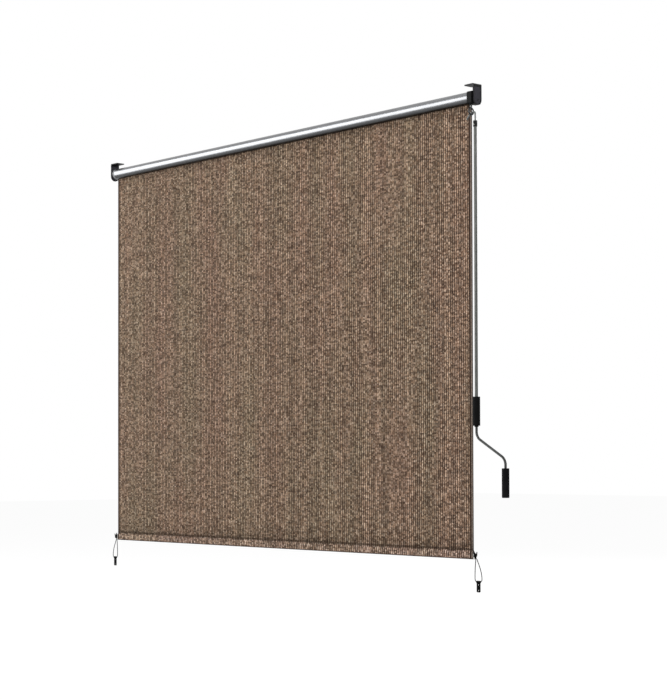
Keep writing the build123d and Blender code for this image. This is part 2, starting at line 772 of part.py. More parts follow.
def end_cap(edge, side):
    """Cap on the bar's end at edge, with a flat lug that holds the tie-down cord."""
    start = edge + side * seat_gap
    with BuildPart() as made:
        with BuildSketch(Plane.YZ.offset(start)):
            with Locations((0, bar_z)):
                RectangleRounded(cap_depth, cap_height, 3)
        extrude(amount=side * cap_length)
        outer = made.faces().sort_by(Axis.X)[-1 if side > 0 else 0]
        fillet(outer.edges(), radius=1)
        with BuildSketch(Plane.YZ.offset(start)):
            with Locations((0, bar_z)):
                Rectangle(bar_depth + 0.2, bar_height + 0.2)
        extrude(amount=side * bar_overhang, mode=Mode.SUBTRACT)
        with BuildSketch(Plane.XZ.offset(-lug_depth / 2)):
            with Locations((start + side * (cap_length + lug_length / 2 - 0.5), lug_z)):
                RectangleRounded(lug_length + 1, lug_height, 2)
        extrude(amount=lug_depth)
        with Locations(Plane((lug_x(edge, side), 0, lug_z), z_dir=(0, 1, 0))):
            Cylinder(lug_hole, 4 * lug_depth, mode=Mode.SUBTRACT)
    return made


def lug_x(edge, side):
    """Where the lug's hole is, outwards from the cloth's edge."""
    return edge + side * (seat_gap + cap_length + lug_length / 2)


def cord_knot(edge, side):
    """Loop through the lug, the knot under it, and the cord's short tail."""
    cord = cord_diameter / 2
    loop = lug_height / 2 + 0.7
    with BuildPart() as made:
        with Locations(Plane((lug_x(edge, side), 0, lug_z - loop), z_dir=(1, 0, 0))):
            Torus(loop, cord)
        with Locations(Plane((lug_x(edge, side), 0, lug_z - 2 * loop - cord), z_dir=(0, 0, 1))):
            Torus(1.7 * cord, 1.05 * cord)
            Cylinder(1.5 * cord, 2 * cord)
        tilt = Plane((lug_x(edge, side), 0, lug_z - 2 * loop - cord), z_dir=(side * 0.5, 0.8, 0.5))
        with Locations(tilt):
            Torus(2.0 * cord, cord)
        start = (lug_x(edge, side) + side * cord, -2.2 * cord, lug_z - 2 * loop)
        with Locations(Plane(start, z_dir=(side * 0.42, -0.12, 0.88))):
            Cylinder(cord, 20, align=(Align.CENTER, Align.CENTER, Align.MIN))
    return made


def tie_clip(edge, side):
    """Flat clip with two holes, and a tunnel across its head for the cord."""
    centre_x = edge + side * clip_offset
    top = hem_bottom - clip_top_drop
    with BuildPart() as made:
        with BuildSketch(Plane.XZ.offset(-clip_head_depth / 2)):
            with Locations((centre_x, top - clip_head_height / 2)):
                RectangleRounded(clip_head_width, clip_head_height, 3)
        extrude(amount=clip_head_depth)
        with BuildSketch(Plane.XZ.offset(-clip_depth / 2)):
            with Locations((centre_x, top - clip_length / 2 - clip_head_height / 4)):
                RectangleRounded(clip_width, clip_length - clip_head_height / 2, 4)
        extrude(amount=clip_depth)
        with Locations(Plane((centre_x, 0, top - clip_head_height / 2), z_dir=(1, 0, 0))):
            Cylinder(cord_diameter / 2 + 0.2, 2 * clip_head_width, mode=Mode.SUBTRACT)
        for drop in (clip_hole_first, clip_hole_first + clip_hole_spacing):
            with Locations(Plane((centre_x, 0, top - drop), z_dir=(0, 1, 0))):
                Cylinder(clip_hole_radius, 4 * clip_depth, mode=Mode.SUBTRACT)
    return made


# Route of a tie-down cord: distance out from the cloth's edge, and height. It hangs from the end
# cap's knot, bends round each end of the clip's tunnel and comes back to the knot.
tunnel_z = hem_bottom - clip_top_drop - clip_head_height / 2
cord_route = [
    (11.2, hem_bottom + 2.4),
    (7.9, hem_bottom - 27.0),
    (6.6, hem_bottom - 54.0),
    (6.4, hem_bottom - 77.5),
    (10.6, tunnel_z),
    (40.4, tunnel_z),
    (44.8, hem_bottom - 77.5),
    (42.4, hem_bottom - 57.0),
    (33.5, hem_bottom - 30.0),
    (16.4, hem_bottom + 2.4),
]


def bend_radii(points):
    """Radius at each corner: 0.45 of the shorter run over the tangent of half the turn."""
    radii = []
    for before, here, after in zip(points, points[1:], points[2:]):
        run_in, run_out = here - before, after - here
        half_turn = radians(run_in.get_angle(run_out)) / 2
        radii.append(0.45 * min(run_in.length, run_out.length) / tan(half_turn))
    return radii


def tie_cord(edge, side):
    """Tube along the route, from the knot through the clip's tunnel and back to the knot."""
    points = [Vector(edge + side * out, 0, height) for out, height in cord_route]
    radii = bend_radii(points)
    with BuildPart() as made:
        with BuildLine() as route:
            FilletPolyline(*points, radius=radii)
        with BuildSketch(Plane(origin=route.line @ 0, z_dir=route.line % 0)):
            Circle(cord_diameter / 2)
        sweep(path=route.line)
    length = sum(edge.length for edge in route.edges())
    expected = length * pi * cord_diameter**2 / 4
    print("tie cord length", round(length, 1), "radii", [round(r, 1) for r in radii])
    print("tie cord volume over section times length", round(made.part.volume / expected, 4))
    return made


with BuildPart() as hem_cap_right:
    add(end_cap(cloth_right, 1).part)
with BuildPart() as hem_cap_left:
    add(end_cap(cloth_left, -1).part)
with BuildPart() as tie_knot_right:
    add(cord_knot(cloth_right, 1).part)
with BuildPart() as tie_knot_left:
    add(cord_knot(cloth_left, -1).part)
with BuildPart() as tie_cord_right:
    add(tie_cord(cloth_right, 1).part)
with BuildPart() as tie_cord_left:
    add(tie_cord(cloth_left, -1).part)
with BuildPart() as tie_clip_right:
    add(tie_clip(cloth_right, 1).part)
with BuildPart() as tie_clip_left:
    add(tie_clip(cloth_left, -1).part)

pieces = {
    "drive_bracket": drive_bracket,
    "idler_bracket": idler_bracket,
    "idler_pin": idler_pin,
    "gear_housing": gear_housing,
    "housing_cover": housing_cover,
    "cover_screws": cover_screws,
    "housing_screw": housing_screw,
    "shade_cloth": shade_cloth,
    "roller_tube": roller_tube,
    "cloth_spline": cloth_spline,
    "drive_plug": drive_plug,
    "idler_plug": idler_plug,
    "idler_bush": idler_bush,
    "worm_wheel": worm_wheel,
    "worm": worm,
    "drive_eye": drive_eye,
    "eye_pin": eye_pin,
    "crank_hook": crank_hook,
    "crank_collar": crank_collar,
    "collar_pin": collar_pin,
    "crank_rod": crank_rod,
    "crank_arm": crank_arm,
    "arm_pin": arm_pin,
    "grip_stop": grip_stop,
    "grip_nut": grip_nut,
    "upper_grip": upper_grip,
    "lower_grip": lower_grip,
    "grip_cap": grip_cap,
    "hem_pocket": hem_pocket,
    "hem_bar": hem_bar,
    "hem_cap_right": hem_cap_right,
    "hem_cap_left": hem_cap_left,
    "tie_knot_right": tie_knot_right,
    "tie_knot_left": tie_knot_left,
    "tie_cord_right": tie_cord_right,
    "tie_cord_left": tie_cord_left,
    "tie_clip_right": tie_clip_right,
    "tie_clip_left": tie_clip_left,
}
os.makedirs("parts", exist_ok=True)
for name, piece in pieces.items():
    piece.part.label = name
    export_step(piece.part, f"parts/{name}.step")
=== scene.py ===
# %% [markdown]
# # An outdoor roller blind
# The blind hangs from two brackets: a tube, a ribbed woven cloth with a weighted hem, a worm
# housing with a hooked crank at the right end, and a tie-down cord at each lower corner. The
# metal and plastic pieces come finished from the CAD model. This script dresses them: it makes
# the cloth, the cords and their knots, and gives every surface its own material.

from math import pi, radians

import bpy
import numpy as np
from mathutils import Matrix, Vector


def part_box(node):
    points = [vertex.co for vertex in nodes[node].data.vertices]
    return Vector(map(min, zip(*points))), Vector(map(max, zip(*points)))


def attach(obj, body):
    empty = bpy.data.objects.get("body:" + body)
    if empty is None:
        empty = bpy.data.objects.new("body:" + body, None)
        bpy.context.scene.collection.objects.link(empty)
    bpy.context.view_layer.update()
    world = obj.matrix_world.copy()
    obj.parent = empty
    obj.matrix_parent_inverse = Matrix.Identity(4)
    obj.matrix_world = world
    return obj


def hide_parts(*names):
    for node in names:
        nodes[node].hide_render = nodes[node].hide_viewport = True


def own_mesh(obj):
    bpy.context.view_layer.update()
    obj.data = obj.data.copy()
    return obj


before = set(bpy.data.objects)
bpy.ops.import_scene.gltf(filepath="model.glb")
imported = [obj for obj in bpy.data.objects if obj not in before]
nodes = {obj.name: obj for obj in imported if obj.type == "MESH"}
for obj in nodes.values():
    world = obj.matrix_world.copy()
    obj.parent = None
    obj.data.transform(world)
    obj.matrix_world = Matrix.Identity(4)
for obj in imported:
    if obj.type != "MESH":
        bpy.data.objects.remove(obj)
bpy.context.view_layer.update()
mm = 0.001

# %% [markdown]
# ## Camera
# The picture was taken from the front right, a little below the middle of the cloth. The tube's
# top edge, the hem and the cloth's two side edges fix the place: these are the values that put
# all four lines where the picture has them. The lens is long, so the far end is only a little
# smaller, and the small upward shift keeps upright edges nearly parallel.

# %% Camera
camera_place = Vector((4.8856, -4.9965, -1.4713))
camera_turn, camera_lift, camera_roll = radians(48.843), radians(1.222), radians(-0.147)

camera_data = bpy.data.cameras.new("camera")
camera_data.sensor_width = 36.0
camera_data.lens = 91.95
camera_data.shift_y = 0.1043
camera_data.clip_end = 200.0
camera = bpy.data.objects.new("camera", camera_data)
camera.matrix_world = (
    Matrix.Translation(camera_place)
    @ Matrix.Rotation(camera_turn, 4, "Z")
    @ Matrix.Rotation(pi / 2 + camera_lift, 4, "X")
    @ Matrix.Rotation(camera_roll, 4, "Z")
)
bpy.context.scene.collection.objects.link(camera)
bpy.context.scene.camera = camera

# %% [markdown]
# ## Tie-down cords
# At each lower corner a loop of black shock cord hangs from its knot, runs through the clip and
# comes back. A NURBS spline with the route's corners as control points makes one limp, smooth
# line out of ten points. Its round bevel of 1 m is scaled by the radius kept at each point.

# %% Tie-down cords
cloth_low, cloth_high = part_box("shade_cloth")
hem_low, hem_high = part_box("hem_pocket")
cloth_left, cloth_right = cloth_low[0], cloth_high[0]
hem_bottom = hem_low[2]
cord_radius = 1.6 * mm
tunnel_drop = -86.5

cord_route = [
    (11.2, 2.4),
    (7.9, -27.0),
    (6.6, -54.0),
    (6.4, -77.5),
    (10.6, tunnel_drop),
    (40.4, tunnel_drop),
    (44.8, -77.5),
    (42.4, -57.0),
    (33.5, -30.0),
    (16.4, 2.4),
]
sides = {"right": (cloth_right, 1), "left": (cloth_left, -1)}


def tie_cord(name, edge, outward):
    """Curve through the route: edge plus the outward distance, hem bottom plus the height."""
    curve = bpy.data.curves.new(name, "CURVE")
    curve.dimensions = "3D"
    curve.bevel_depth = 1.0
    curve.bevel_resolution = 4
    curve.resolution_u = 16
    curve.use_fill_caps = True
    spline = curve.splines.new("NURBS")
    spline.points.add(len(cord_route) - 1)
    for point, (out, height) in zip(spline.points, cord_route):
        point.co = (edge + outward * out * mm, 0, hem_bottom + height * mm, 1)
        point.radius = cord_radius
    spline.order_u = 3
    spline.use_endpoint_u = True
    cord = bpy.data.objects.new(name, curve)
    bpy.context.scene.collection.objects.link(cord)
    return cord


cords = {side: tie_cord("cord_loop_" + side, *place) for side, place in sides.items()}

# %% [markdown]
# ## Surfaces from arrays
# Every new mesh is a grid of points worked out in one go. Two helpers turn such grids into
# closed meshes: one joins a front and a back sheet along their rims, and one carries a ring of
# points along a line.

# %% Mesh helpers
def mesh_piece(name, points, faces, smooth=True):
    """Object at the origin from an array of points and an array of corner numbers."""
    mesh = bpy.data.meshes.new(name)
    mesh.from_pydata(points.reshape(-1, 3), [], faces.tolist())
    mesh.polygons.foreach_set("use_smooth", np.full(len(mesh.polygons), smooth))
    mesh.update()
    piece = bpy.data.objects.new(name, mesh)
    bpy.context.scene.collection.objects.link(piece)
    return piece


def quads(a, b, c, d):
    """One row of four corner numbers per cell."""
    return np.stack([a, b, c, d], axis=-1).reshape(-1, 4)


def closed_sheet(name, front, back):
    """Sheet between two grids, both from the top row down and from left to right."""
    rows, columns = front.shape[:2]
    f = np.arange(rows * columns).reshape(rows, columns)
    b = f + rows * columns
    faces = [
        quads(f[:-1, :-1], f[1:, :-1], f[1:, 1:], f[:-1, 1:]),
        quads(b[:-1, :-1], b[:-1, 1:], b[1:, 1:], b[1:, :-1]),
        quads(f[0, :-1], f[0, 1:], b[0, 1:], b[0, :-1]),
        quads(f[-1, :-1], b[-1, :-1], b[-1, 1:], f[-1, 1:]),
        quads(f[:-1, 0], b[:-1, 0], b[1:, 0], f[1:, 0]),
        quads(f[:-1, -1], f[1:, -1], b[1:, -1], b[:-1, -1]),
    ]
    return mesh_piece(name, np.concatenate([front, back]), np.concatenate(faces))


def tube_grid(line, radius, around):
    """Rings round a line: centre + radius (cos a across + sin a over), with across and over
    square to the line's direction, which is the difference of its neighbouring points."""
    along = np.gradient(line, axis=0)
    along /= np.linalg.norm(along, axis=1, keepdims=True)
    over = np.cross(along, np.array([0.31, 0.93, 0.19]))
    over /= np.linalg.norm(over, axis=1, keepdims=True)
    across = np.cross(over, along)
    angle = np.linspace(0, 2 * pi, around, endpoint=False)[None, :, None]
    ring = np.cos(angle) * across[:, None] + np.sin(angle) * over[:, None]
    return line[:, None] + np.reshape(radius, (-1, 1, 1)) * ring


def tube_faces(rings, around, start):
    """Corner numbers of a tube's wall; the first and the last ring shrink to close it."""
    n = start + np.arange(rings * around).reshape(rings, around)
    nxt = np.roll(n, -1, axis=1)
    return quads(n[:-1], nxt[:-1], nxt[1:], n[1:])


# %% [markdown]
# ## Cloth
# The cloth is a knitted shade fabric: upright ribs of twisted tape, 12 mm apart, tied by fine
# thread. The ribs are real relief, because the eye sees them from the side, and the threads on
# them are left to the material. The sheet is one closed surface with a thicker selvedge at both
# sides.

# %% Cloth
rib_pitch = 12.0 * mm
rib_height = 0.6 * mm
rib_power = 1.2
half_thickness = 0.45 * mm
selvedge = 9.0 * mm
doubled_front, doubled_back = 0.5 * mm, 0.3 * mm
cloth_top, cloth_bottom = cloth_high[2], cloth_low[2]


def rib_relief(x):
    """Relief of rounded ribs: height times |sin(pi x / pitch)| to the power of 1.2, with x
    counted from the cloth's left edge."""
    return rib_height * np.abs(np.sin(pi * (x - cloth_left) / rib_pitch)) ** rib_power


def cloth_front(x):
    """Depth of the front: half the thickness, the ribs, and a doubled selvedge."""
    edge = np.minimum(x - cloth_left, cloth_right - x)
    return -(half_thickness + rib_relief(x) + doubled_front * (edge < selvedge))


def cloth_back(x):
    """Depth of the back: half the thickness, and a doubled selvedge."""
    edge = np.minimum(x - cloth_left, cloth_right - x)
    return half_thickness + doubled_back * (edge < selvedge)


columns = int(round((cloth_right - cloth_left) / rib_pitch * 7))
rows = 24
across, down = np.meshgrid(
    np.linspace(cloth_left, cloth_right, columns), np.linspace(cloth_top, cloth_bottom, rows)
)
hang = (cloth_top - down) / (cloth_top - cloth_bottom)
sway = 0.7 * mm * np.sin(pi * hang) * np.sin(5.3 * across + 1.1) * np.sin(2.0 + 3.1 * hang)
front = np.stack([across, cloth_front(across) + sway, down], axis=-1)
back = np.stack([across, cloth_back(across) + sway, down], axis=-1)
cloth = closed_sheet("woven_cloth", front, back)
print("cloth columns", columns, "rows", rows)

# %% [markdown]
# ## Hem
# The cloth's lower end is turned up round a flat bar and sewn to itself. Its outline is a long
# loop: straight sides, a round turn at the bottom, and shoulders that close at the seam. The
# same ribs run down its outside. A hair's gap under the cloth keeps the two meshes apart, and
# small stitches mark the seam.

# %% Hem pocket
seam_gap = 0.05 * mm
hem_top = hem_high[2] - seam_gap
half_depth = hem_high[1]
wall = 0.9 * mm
shoulder = hem_bottom + 24.1 * mm
turn = hem_bottom + half_depth
skin = half_depth - wall


def hem_outline(depth, foot, top):
    """Loop of the pocket from the front seam round the foot to the back seam: half circle of
    radius depth about the turn, then straight to the shoulder and in to the seam."""
    swing = np.linspace(pi, 2 * pi, 13)
    round_y, round_z = depth * np.cos(swing), turn + (turn - foot) * np.sin(swing)
    side_z = np.array([turn + 0.35 * (shoulder - turn), turn + 0.7 * (shoulder - turn), shoulder])
    lean = np.array([0.7, 0.35])
    slope_y = wall + (depth - wall) * lean
    slope_z = shoulder + (top - shoulder) * (1 - lean)
    down_y = np.concatenate([[-wall], -slope_y[::-1], np.full(3, -depth)])
    down_z = np.concatenate([[top], slope_z[::-1], side_z[::-1]])
    return np.concatenate([down_y, round_y, -down_y[::-1]]), np.concatenate(
        [down_z, round_z, down_z[::-1]]
    )


outer_y, outer_z = hem_outline(half_depth, hem_bottom, hem_top)
inner_y, inner_z = hem_outline(skin, hem_bottom + wall, hem_top - 2 * wall)
inner_y[[0, -1]] = [-0.05 * mm, 0.05 * mm]
hem_x = np.linspace(cloth_left, cloth_right, columns)
ribs = rib_relief(hem_x)
outward_y = np.sign(outer_y) * np.minimum(1, np.abs(outer_y) / half_depth)


def hem_grid(y, z, relief):
    """Grid over the hem's length, with the relief added outwards in depth."""
    depth = y[:, None] + outward_y[:, None] * relief[None, :]
    height = np.broadcast_to(z[:, None], depth.shape)
    return np.stack([np.broadcast_to(hem_x[None, :], depth.shape), depth, height], axis=-1)


hem = closed_sheet(
    "sewn_hem", hem_grid(outer_y, outer_z, ribs * 0.8), hem_grid(inner_y, inner_z, 0 * ribs)
)

# %% [markdown]
# The stitches are short dark bars of thread. One bar is eight points, and the whole row is the
# same bar shifted by one array of places, which is far quicker than making objects one by one.

# %% Stitches
stitch_step = 8.0 * mm
stitch_box = np.array(
    [[x, y, z] for x in (-2.6, 2.6) for y in (-0.35, 0.35) for z in (-0.45, 0.45)]
)
stitch_faces = np.array(
    [[0, 1, 3, 2], [4, 6, 7, 5], [0, 4, 5, 1], [2, 3, 7, 6], [0, 2, 6, 4], [1, 5, 7, 3]]
)


def stitch_row(name, y, z):
    """Row of equal bars along the hem at depth y and height z."""
    places = np.arange(cloth_left + stitch_step / 2, cloth_right, stitch_step)
    shift = np.stack([places, np.full_like(places, y), np.full_like(places, z)], axis=-1)
    points = shift[:, None] + stitch_box[None] * mm
    faces = stitch_faces[None] + 8 * np.arange(len(places))[:, None, None]
    return mesh_piece(name, points, faces.reshape(-1, 4), smooth=False)


seam_height = hem_top - 2.5 * mm
seam_depth = half_depth * 0.37 + 0.75 * mm
stitches = [
    stitch_row("seam_stitches_front", -seam_depth, seam_height),
    stitch_row("seam_stitches_back", seam_depth, seam_height),
]

# %% [markdown]
# ## Knots
# Each loop is tied to the lug of the hem's end cap with its two ends crossed and pulled tight.
# Two strands cross in front of each other, a short wrap binds them, and the two cut ends stick
# up. Every strand is a tube along a line given by a formula. It is thickest in the middle, where
# the knot is pulled tight, and its ends are closed.

# %% Knots
strand_end, strand_swell, strand_tip = 1.6, 1.2, 0.02


def strand(start, end, bow, side_bow, count=28):
    """Line from start to end that bows by sin(pi t) to the front and by sin(2 pi t) sideways."""
    t = np.linspace(0, 1, count)[:, None]
    line = (1 - t) * np.array(start) + t * np.array(end)
    line[:, 1:2] += bow * np.sin(pi * t)
    line[:, 0:1] += side_bow * np.sin(2 * pi * t)
    return line


def wrap(centre, radius, rise, turns, count=60):
    """Coil round the crossing: radius times (cos, sin) of the turn, and a slow rise."""
    t = np.linspace(0, 1, count)
    angle = 2 * pi * turns * t
    return np.stack(
        [
            centre[0] + radius * np.cos(angle),
            centre[1] + radius * np.sin(angle),
            centre[2] + rise * (t - 0.5) + 1.2 * np.sin(angle),
        ],
        axis=-1,
    )


def knot(name, edge, outward):
    """One mesh of four tubes, in millimetres out from the cloth's edge and up from the hem."""
    lines = [
        strand((2.2, -3.2, 27.0), (16.4, 0.0, 2.0), -3.4, 1.0),
        strand((11.2, 0.0, 2.0), (22.5, -4.5, 31.0), -2.2, -1.0),
        strand((13.0, -3.2, 14.5), (5.5, -5.2, 35.0), -1.0, 0.8),
        wrap((11.6, -3.6, 14.5), 4.8, 11.0, 3.1),
    ]
    around, points, faces, start = 12, [], [], 0
    for line in lines:
        rings = len(line)
        radius = strand_end + strand_swell * np.sin(pi * np.linspace(0, 1, rings)) ** 2
        radius[[0, -1]] = strand_tip
        line[0] = line[1] + 0.02 * (line[0] - line[1])
        line[-1] = line[-2] + 0.02 * (line[-1] - line[-2])
        points.append(tube_grid(line, radius, around).reshape(-1, 3))
        faces.append(tube_faces(rings, around, start))
        start += rings * around
    points = np.concatenate(points)
    points[:, 0] = edge + outward * points[:, 0] * mm
    points[:, 1] *= mm
    points[:, 2] = hem_bottom + points[:, 2] * mm
    corners = np.concatenate(faces)
    return mesh_piece(name, points, corners if outward < 0 else corners[:, ::-1])


knots = {side: knot("cord_knot_" + side, *place) for side, place in sides.items()}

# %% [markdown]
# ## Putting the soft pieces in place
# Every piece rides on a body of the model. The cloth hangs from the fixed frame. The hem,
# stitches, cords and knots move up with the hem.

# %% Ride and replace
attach(cloth, "frame")
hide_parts("shade_cloth")
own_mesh(cloth)
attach(hem, "hem")
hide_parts("hem_pocket")
for row in stitches:
    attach(row, "hem")
for side, (edge, outward) in sides.items():
    cord, tied = cords[side], knots[side]
    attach(tied, "hem")
    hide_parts("tie_knot_" + side)
    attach(cord, "hem")
    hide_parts("tie_cord_" + side)

# %% [markdown]
# ## Materials
# Every finish is worked out by nodes from the place on the piece, in metres. Effects that many
# materials share are node groups: a fine grain, and faint handling marks. Colours are given as
# they look on a screen and turned into the linear values that the shader wants.

# %% Node helpers
def screen(red, green, blue):
    """Linear colour of a screen colour from 0 to 255: ((c + 0.055) / 1.055) to the power 2.4."""
    c = np.array([red, green, blue]) / 255
    linear = np.where(c <= 0.04045, c / 12.92, ((c + 0.055) / 1.055) ** 2.4)
    return (*linear.tolist(), 1.0)


def add_node(tree, kind, x, y, inputs=None, **settings):
    """Node of a kind at a place in the editor, with settings, and values or links as inputs."""
    node = tree.nodes.new("ShaderNode" + kind)
    node.location = (x, y)
    for key, value in settings.items():
        setattr(node, key, value)
    for key, value in (inputs or {}).items():
        if isinstance(value, bpy.types.NodeSocket):
            tree.links.new(value, node.inputs[key])
        else:
            node.inputs[key].default_value = value
    return node


def new_group(name, ins, outs):
    """Shader node group with named inputs and outputs; returns its tree and its two ends."""
    tree = bpy.data.node_groups.new(name, "ShaderNodeTree")
    for label, kind, value in ins:
        socket = tree.interface.new_socket(label, in_out="INPUT", socket_type="NodeSocket" + kind)
        if value is not None:
            socket.default_value = value
    for label, kind in outs:
        tree.interface.new_socket(label, in_out="OUTPUT", socket_type="NodeSocket" + kind)
    start, end = tree.nodes.new("NodeGroupInput"), tree.nodes.new("NodeGroupOutput")
    start.location, end.location = (-900, 0), (900, 0)
    return tree, start, end


def place_group(tree, group, x, y, inputs):
    """A group as one node of a material."""
    node = add_node(tree, "Group", x, y, node_tree=group)
    for key, value in inputs.items():
        if isinstance(value, bpy.types.NodeSocket):
            tree.links.new(value, node.inputs[key])
        else:
            node.inputs[key].default_value = value
    return node


# %% Shared effect: fine grain
grain_group, grain_in, grain_out = new_group(
    "fine_grain",
    [("Vector", "Vector", None), ("Scale", "Float", 900.0), ("Stretch", "Vector", (1, 1, 1))],
    [("Value", "Float"), ("Height", "Float")],
)
stretched = add_node(
    grain_group, "VectorMath", -700, 0,
    {0: grain_in.outputs["Vector"], 1: grain_in.outputs["Stretch"]}, operation="MULTIPLY",
)
coarse = add_node(
    grain_group, "TexNoise", -450, 100,
    {"Vector": stretched.outputs[0], "Scale": grain_in.outputs["Scale"], "Detail": 3.0},
)
pits = add_node(
    grain_group, "TexVoronoi", -450, -150,
    {"Vector": stretched.outputs[0], "Scale": grain_in.outputs["Scale"]},
)
grain_mix = add_node(
    grain_group, "Math", -150, -50,
    {0: coarse.outputs[0], 1: pits.outputs["Distance"]}, operation="ADD",
)
grain_group.links.new(coarse.outputs[0], grain_out.inputs["Value"])
grain_group.links.new(grain_mix.outputs[0], grain_out.inputs["Height"])

# %% Shared effect: handling marks
marks_group, marks_in, marks_out = new_group(
    "handling_marks",
    [("Vector", "Vector", None), ("Scale", "Float", 30.0), ("Amount", "Float", 0.5)],
    [("Mask", "Float")],
)
clouds = add_node(
    marks_group, "TexNoise", -600, 0,
    {"Vector": marks_in.outputs["Vector"], "Scale": marks_in.outputs["Scale"], "Detail": 6.0,
     "Roughness": 0.65},
)
cut = add_node(
    marks_group, "MapRange", -300, 0,
    {"Value": clouds.outputs[0], "From Min": 0.48, "From Max": 0.72},
    interpolation_type="SMOOTHSTEP",
)
scaled = add_node(
    marks_group, "Math", 0, 0, {0: cut.outputs[0], 1: marks_in.outputs["Amount"]},
    operation="MULTIPLY",
)
marks_group.links.new(scaled.outputs[0], marks_out.inputs["Mask"])

# %% [markdown]
# ### Plain finishes
# Paint, moulded plastic, bare and plated metal differ in a few numbers only: two close colours
# that the grain moves between, the grain's size and direction, how shiny the piece is and how
# deep its grain feels. One function with those numbers makes them all.

# %% Plain finish
def finish(name, colour, mark_colour, rough, metallic=0.0, scale=900.0, stretch=(1, 1, 1),
           depth=0.25, marks=0.35, specular=0.5):
    """Material with grain between colour and mark_colour, and roughness in a range."""
    material = bpy.data.materials.new(name)
    material.use_nodes = True
    tree = material.node_tree
    tree.nodes.clear()
    where = add_node(tree, "TexCoord", -1100, 0).outputs["Object"]
    grain = place_group(
        tree, grain_group, -850, 150, {"Vector": where, "Scale": scale, "Stretch": stretch}
    )
    worn = place_group(
        tree, marks_group, -850, -150, {"Vector": where, "Scale": 24.0, "Amount": marks}
    )
    both = add_node(
        tree, "Math", -600, 60, {0: grain.outputs["Value"], 1: worn.outputs["Mask"]},
        operation="ADD", use_clamp=True,
    )
    spread = add_node(
        tree, "MapRange", -430, 60, {"Value": both.outputs[0], "From Min": 0.3, "From Max": 1.0}
    )
    tint = add_node(
        tree, "Mix", -230, 200,
        {"Factor": spread.outputs[0], 6: screen(*colour), 7: screen(*mark_colour)},
        data_type="RGBA",
    )
    gloss = add_node(
        tree, "MapRange", -230, -60,
        {"Value": both.outputs[0], "To Min": rough[0], "To Max": rough[1]},
    )
    bump = add_node(
        tree, "Bump", -230, -320,
        {"Strength": depth, "Distance": 0.0002, "Height": grain.outputs["Height"]},
    )
    shader = add_node(
        tree, "BsdfPrincipled", 60, 100,
        {"Base Color": tint.outputs[2], "Roughness": gloss.outputs[0], "Metallic": metallic,
         "Normal": bump.outputs[0], "Specular IOR Level": specular},
    )
    output = add_node(tree, "OutputMaterial", 360, 100)
    tree.links.new(shader.outputs[0], output.inputs["Surface"])
    return material


def dress(material, *names):
    """Gives CAD nodes or new pieces one material."""
    for name in names:
        data = (nodes.get(name) or bpy.data.objects[name]).data
        data.materials.clear()
        data.materials.append(material)


housing_black = finish(
    "housing_black", (3, 3, 4), (14, 14, 15), (0.42, 0.6), scale=1400, specular=0.06
)
grip_black = finish(
    "grip_black", (8, 8, 9), (24, 24, 25), (0.55, 0.75), scale=1800, depth=0.4, specular=0.04
)
clip_black = finish(
    "clip_black", (1, 1, 1), (6, 6, 6), (0.45, 0.6), scale=1500, specular=0.02
)
rod_paint = finish("rod_paint", (62, 64, 62), (88, 90, 87), (0.3, 0.45), metallic=0.6, scale=700)
arm_paint = finish("arm_paint", (34, 35, 34), (58, 60, 58), (0.3, 0.45), metallic=0.6, scale=700)
collar_paint = finish(
    "collar_paint", (6, 6, 6), (24, 24, 24), (0.3, 0.45), scale=900, specular=0.12
)
eye_steel = finish("eye_steel", (22, 24, 25), (84, 88, 90), (0.25, 0.4), metallic=0.85)
hook_steel = finish("hook_steel", (62, 64, 64), (128, 130, 128), (0.22, 0.36), metallic=0.9)
plated_steel = finish(
    "plated_steel", (150, 150, 144), (190, 188, 178), (0.25, 0.4), metallic=1.0, scale=500
)
screw_black = finish("screw_black", (20, 20, 21), (52, 52, 54), (0.3, 0.45), metallic=0.5)
plug_grey = finish("plug_grey", (96, 97, 99), (122, 123, 124), (0.4, 0.55), scale=1300)
cap_grey = finish("cap_grey", (150, 148, 145), (176, 174, 170), (0.4, 0.55), scale=1300)
gear_nylon = finish("gear_nylon", (206, 203, 192), (222, 219, 210), (0.35, 0.5), scale=1200)
tube_metal = finish(
    "tube_metal", (112, 113, 115), (140, 141, 143), (0.22, 0.32), metallic=1.0, scale=500,
    stretch=(0.02, 1, 1), depth=0.12, marks=0.1,
)
dress(housing_black, "gear_housing", "housing_cover")
dress(grip_black, "upper_grip", "lower_grip", "grip_cap", "grip_stop")
dress(clip_black, "tie_clip_right", "tie_clip_left")
dress(rod_paint, "crank_rod")
dress(arm_paint, "crank_arm")
dress(collar_paint, "crank_collar")
dress(eye_steel, "drive_eye")
dress(hook_steel, "crank_hook")
dress(plated_steel, "idler_pin", "worm", "eye_pin", "collar_pin", "arm_pin", "grip_nut", "hem_bar")
dress(screw_black, "cover_screws", "housing_screw")
dress(plug_grey, "drive_plug", "idler_plug")
dress(cap_grey, "hem_cap_right", "hem_cap_left")
dress(gear_nylon, "worm_wheel", "idler_bush", "cloth_spline")
dress(tube_metal, "roller_tube")

# %% [markdown]
# ### Shade on the tube
# The tube's colour is multiplied by a ramp over the height. This is painted shade: darkest on the
# underside just above the cloth, and a little dark along its top edge.

# %% Shade on the tube
tube_low, tube_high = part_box("roller_tube")


